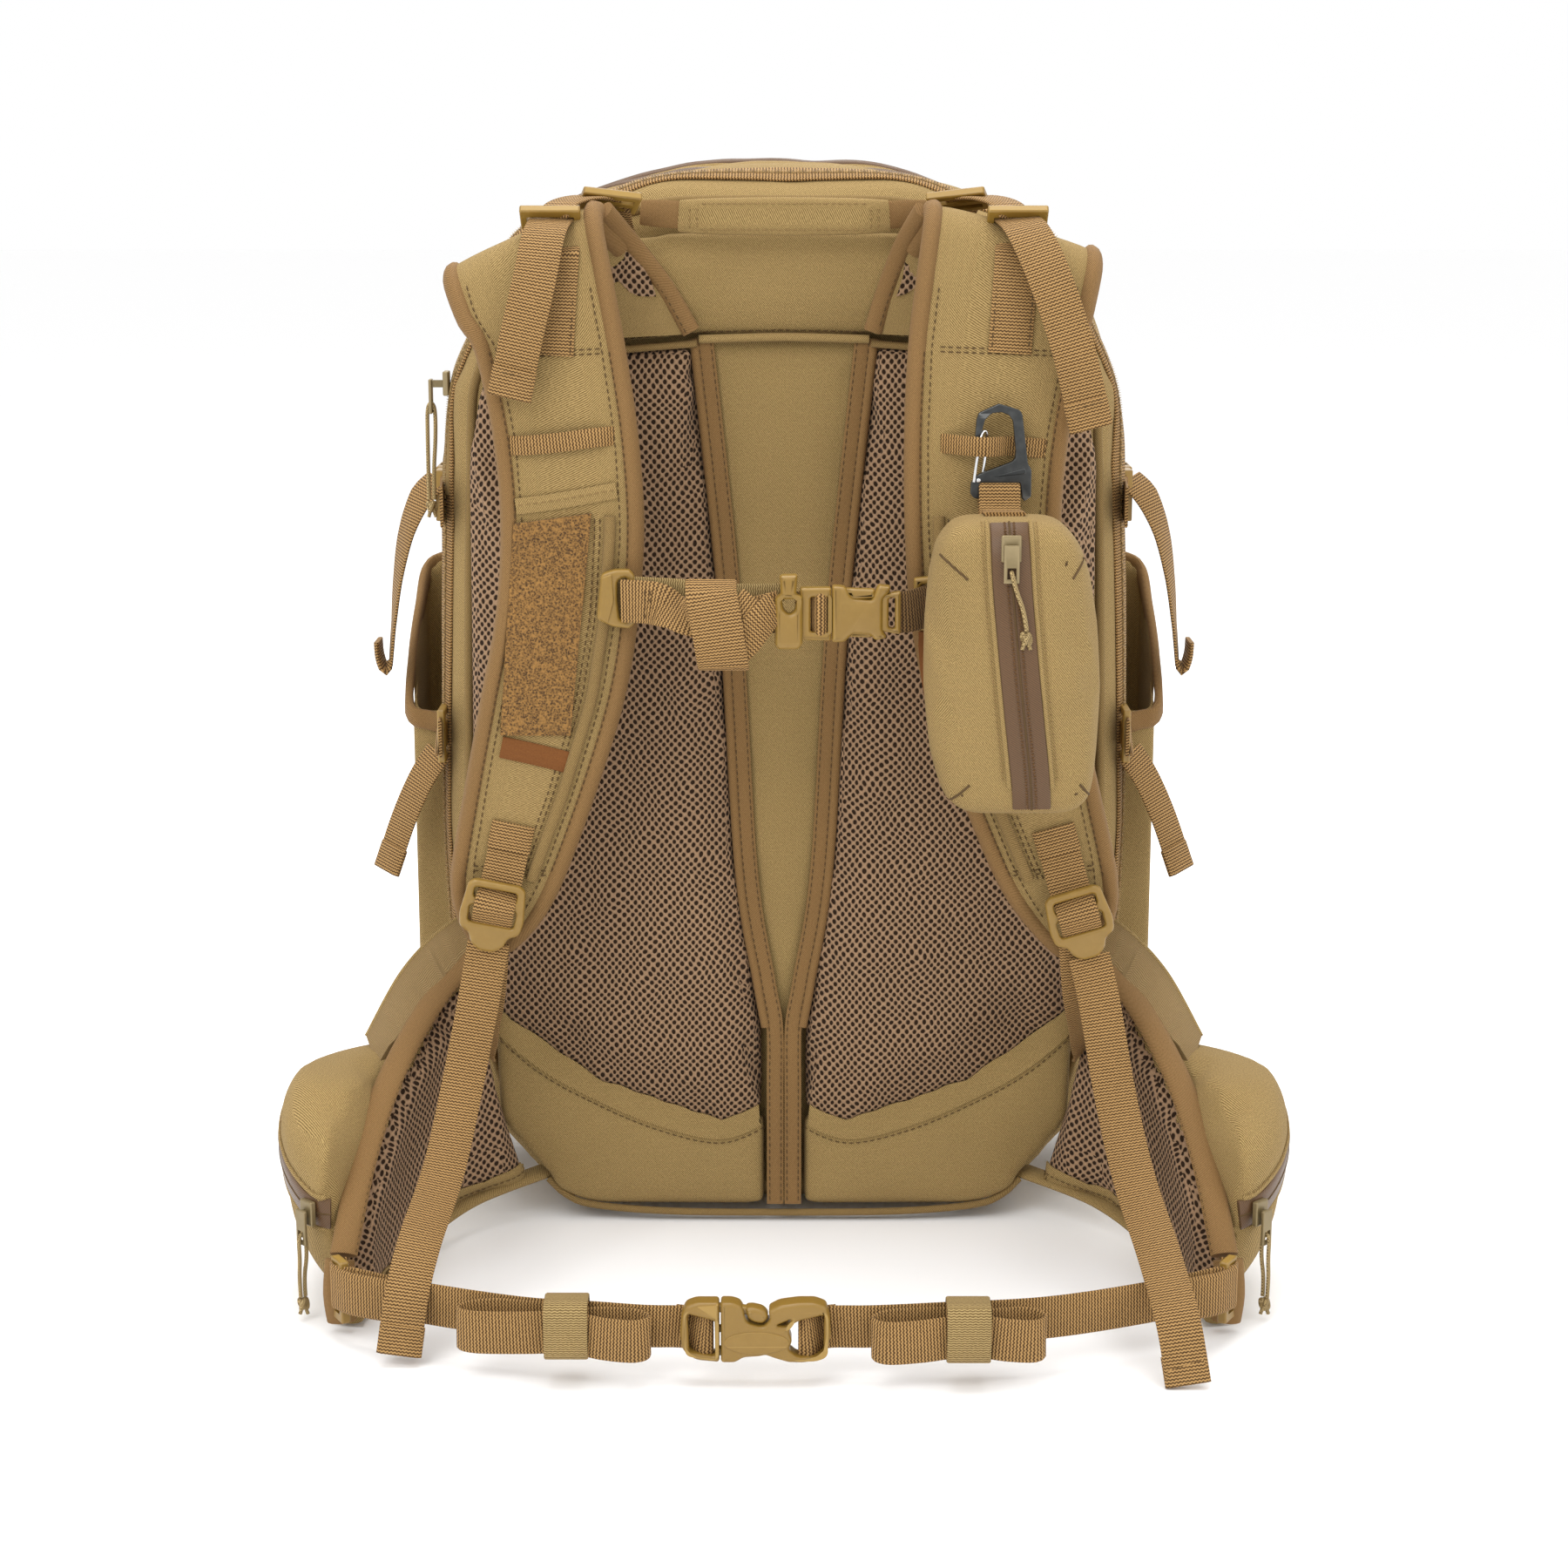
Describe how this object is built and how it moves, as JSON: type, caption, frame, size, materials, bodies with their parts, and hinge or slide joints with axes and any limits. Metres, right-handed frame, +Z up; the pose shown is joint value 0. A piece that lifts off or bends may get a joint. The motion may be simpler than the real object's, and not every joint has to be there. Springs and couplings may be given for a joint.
{
  "type": "backpack",
  "caption": "Khaki hunting backpack with padded shoulder straps, sternum strap, padded hip belt with pockets, side pockets, and an accessory pouch hung from a carabiner.",
  "frame": {"origin": "centre of the bag's base, on the surface that it stands on", "axes": "+Z up, -Y towards the wearer (back panel), +X to the right seen from behind the wearer's side"},
  "size_m": [0.484, 0.418, 0.5338],
  "materials": {
    "khaki_fabric": "tightly woven plain-weave nylon, matt",
    "pad_mesh": "spacer mesh with oval holes",
    "webbing": "ribbed webbing",
    "elastic": "fine ribbed elastic",
    "zip_tape": "coated water-resistant zip tape",
    "khaki_zip": "woven zip tape with coil",
    "hook_pile": "fuzzy loop pile",
    "mustard_plastic": "moulded acetal, satin",
    "carabiner_metal": "dark anodised, satin",
    "gate_wire": "bright wire",
    "slider_metal": "painted zip slider",
    "pull_cord": "braided cord",
    "frame_plastic": "black sheet",
    "stay_metal": "mill finish"
  },
  "bodies": {
    "pack": {"main_bag": "khaki_fabric", "front_bag": "khaki_fabric", "stash_pocket": "khaki_fabric", "frame_sheet": "frame_plastic", "frame_stays": "stay_metal", "main_zipper": "khaki_zip", "front_zippers": "zip_tape", "left_back_pad": "pad_mesh", "right_back_pad": "pad_mesh", "spine_panel": "khaki_fabric", "yoke_panel": "khaki_fabric", "lumbar_panel": "khaki_fabric", "left_bottle_pocket": "khaki_fabric", "right_bottle_pocket": "khaki_fabric", "side_webs": "webbing", "side_ladder_locks": "mustard_plastic", "side_sockets": "mustard_plastic", "strap_lifter_locks": "mustard_plastic", "left_shoulder_strap": "khaki_fabric", "right_shoulder_strap": "khaki_fabric", "hook_patch": "hook_pile", "strap_loops": "webbing", "lifter_webs": "webbing", "left_strap_tail": "webbing", "right_strap_tail": "webbing", "left_hip_wing": "khaki_fabric", "right_hip_wing": "khaki_fabric", "left_hip_pocket": "khaki_fabric", "right_hip_pocket": "khaki_fabric", "stabilizer_wings": "webbing", "hip_triglides": "mustard_plastic", "left_belt_web": "webbing", "right_belt_web": "webbing", "belt_keepers": "elastic", "hip_socket": "mustard_plastic"},
    "hip_plug": {"hip_plug": "mustard_plastic"},
    "sternum_strap": {"sternum_clips": "mustard_plastic", "sternum_left_web": "webbing", "sternum_right_web": "webbing", "sternum_socket": "mustard_plastic"},
    "sternum_plug": {"sternum_plug": "mustard_plastic", "whistle": "mustard_plastic"},
    "carabiner": {"carabiner_body": "carabiner_metal"},
    "carabiner_gate": {"carabiner_gate": "gate_wire"},
    "pouch": {"pouch_body": "khaki_fabric"},
    "pouch_slider": {"pouch_slider": "slider_metal"},
    "pouch_cord": {"pouch_cord": "pull_cord"},
    "side_slider": {"side_slider": "slider_metal"},
    "side_cord": {"side_cord": "pull_cord"},
    "grab_handle": {"grab_handle": "khaki_fabric"},
    "left_hip_slider": {"left_hip_slider": "slider_metal"},
    "left_hip_cord": {"left_hip_cord": "pull_cord"},
    "left_shoulder_lock": {"left_shoulder_lock": "mustard_plastic"},
    "left_lifter_lock": {"left_lifter_lock": "mustard_plastic"},
    "left_side_plug": {"left_side_plug": "mustard_plastic"},
    "right_hip_slider": {"right_hip_slider": "slider_metal"},
    "right_hip_cord": {"right_hip_cord": "pull_cord"},
    "right_shoulder_lock": {"right_shoulder_lock": "mustard_plastic"},
    "right_lifter_lock": {"right_lifter_lock": "mustard_plastic"},
    "right_side_plug": {"right_side_plug": "mustard_plastic"}
  },
  "joints": [
    {"name": "hip_buckle_release", "type": "slide", "parent": "pack", "child": "hip_plug", "axis": [-1, 0, 0], "range_m": [0, 0.036], "deforming": ["left_belt_web"]},
    {"name": "sternum_height", "type": "slide", "parent": "pack", "child": "sternum_strap", "axis": [0, 0, 1], "range_m": [-0.02, 0.02]},
    {"name": "sternum_buckle_release", "type": "slide", "parent": "sternum_strap", "child": "sternum_plug", "axis": [-1, 0, 0], "range_m": [0, 0.022], "deforming": ["sternum_left_web"]},
    {"name": "carabiner_swing", "type": "hinge", "parent": "pack", "child": "carabiner", "pos_m": [0.098, -0.167, 0.4005], "axis": [-1, 0, 0], "range_deg": [0, 7]},
    {"name": "carabiner_gate_open", "type": "hinge", "parent": "carabiner", "child": "carabiner_gate", "pos_m": [0.0904, -0.167, 0.3946], "axis": [0, 1, 0], "range_deg": [0, 20], "stiffness_Nm_per_rad": 0.002, "springref_deg": -11.46},
    {"name": "pouch_swing", "type": "hinge", "parent": "carabiner", "child": "pouch", "pos_m": [0.0995, -0.167, 0.3855], "axis": [-1, 0, 0], "range_deg": [0, 9]},
    {"name": "pouch_zip_slide", "type": "slide", "parent": "pouch", "child": "pouch_slider", "axis": [0, 0, -1], "range_m": [0, 0.1]},
    {"name": "pouch_cord_swing", "type": "hinge", "parent": "pouch_slider", "child": "pouch_cord", "pos_m": [0.101, -0.2318, 0.356], "axis": [0, -1, 0], "range_deg": [0, 60]},
    {"name": "side_zip_slide", "type": "slide", "parent": "pack", "child": "side_slider", "axis": [-0.0222, 0, -0.9998], "range_m": [0, 0.034]},
    {"name": "side_cord_swing", "type": "hinge", "parent": "side_slider", "child": "side_cord", "pos_m": [-0.175, -0.059, 0.415], "axis": [-1, 0, 0], "range_deg": [0, 45]},
    {"name": "grab_handle_lift", "type": "hinge", "parent": "pack", "child": "grab_handle", "pos_m": [0, -0.0945, 0.4995], "axis": [-1, 0, 0], "range_deg": [0, 50]},
    {"name": "left_hip_zip_slide", "type": "hinge", "parent": "pack", "child": "left_hip_slider", "pos_m": [-0.174, -0.177, 0.0765], "axis": [0, 0.4552, -0.8904], "range_deg": [0, 80]},
    {"name": "left_hip_cord_swing", "type": "hinge", "parent": "left_hip_slider", "child": "left_hip_cord", "pos_m": [-0.22548, -0.22736, 0.04321], "axis": [0.7145, 0.6997, 0], "range_deg": [0, 45]},
    {"name": "left_shoulder_lock_tilt", "type": "hinge", "parent": "pack", "child": "left_shoulder_lock", "pos_m": [-0.138, -0.164, 0.195], "axis": [-1, 0, 0], "range_deg": [0, 25], "deforming": ["left_strap_tail"]},
    {"name": "left_lifter_lock_tilt", "type": "hinge", "parent": "pack", "child": "left_lifter_lock", "pos_m": [-0.082, -0.108, 0.512], "axis": [-1, 0, 0], "range_deg": [0, 25]},
    {"name": "left_side_buckle_release", "type": "slide", "parent": "pack", "child": "left_side_plug", "axis": [0, 1, 0], "range_m": [0, 0.022]},
    {"name": "right_hip_zip_slide", "type": "hinge", "parent": "pack", "child": "right_hip_slider", "pos_m": [0.174, -0.177, 0.0765], "axis": [0, -0.4552, 0.8904], "range_deg": [0, 80]},
    {"name": "right_hip_cord_swing", "type": "hinge", "parent": "right_hip_slider", "child": "right_hip_cord", "pos_m": [0.22548, -0.22736, 0.04321], "axis": [0.7145, -0.6997, 0], "range_deg": [0, 45]},
    {"name": "right_shoulder_lock_tilt", "type": "hinge", "parent": "pack", "child": "right_shoulder_lock", "pos_m": [0.138, -0.164, 0.195], "axis": [-1, 0, 0], "range_deg": [0, 25], "deforming": ["right_strap_tail"]},
    {"name": "right_lifter_lock_tilt", "type": "hinge", "parent": "pack", "child": "right_lifter_lock", "pos_m": [0.082, -0.108, 0.512], "axis": [-1, 0, 0], "range_deg": [0, 25]},
    {"name": "right_side_buckle_release", "type": "slide", "parent": "pack", "child": "right_side_plug", "axis": [0, 1, 0], "range_m": [0, 0.022]}
  ]
}
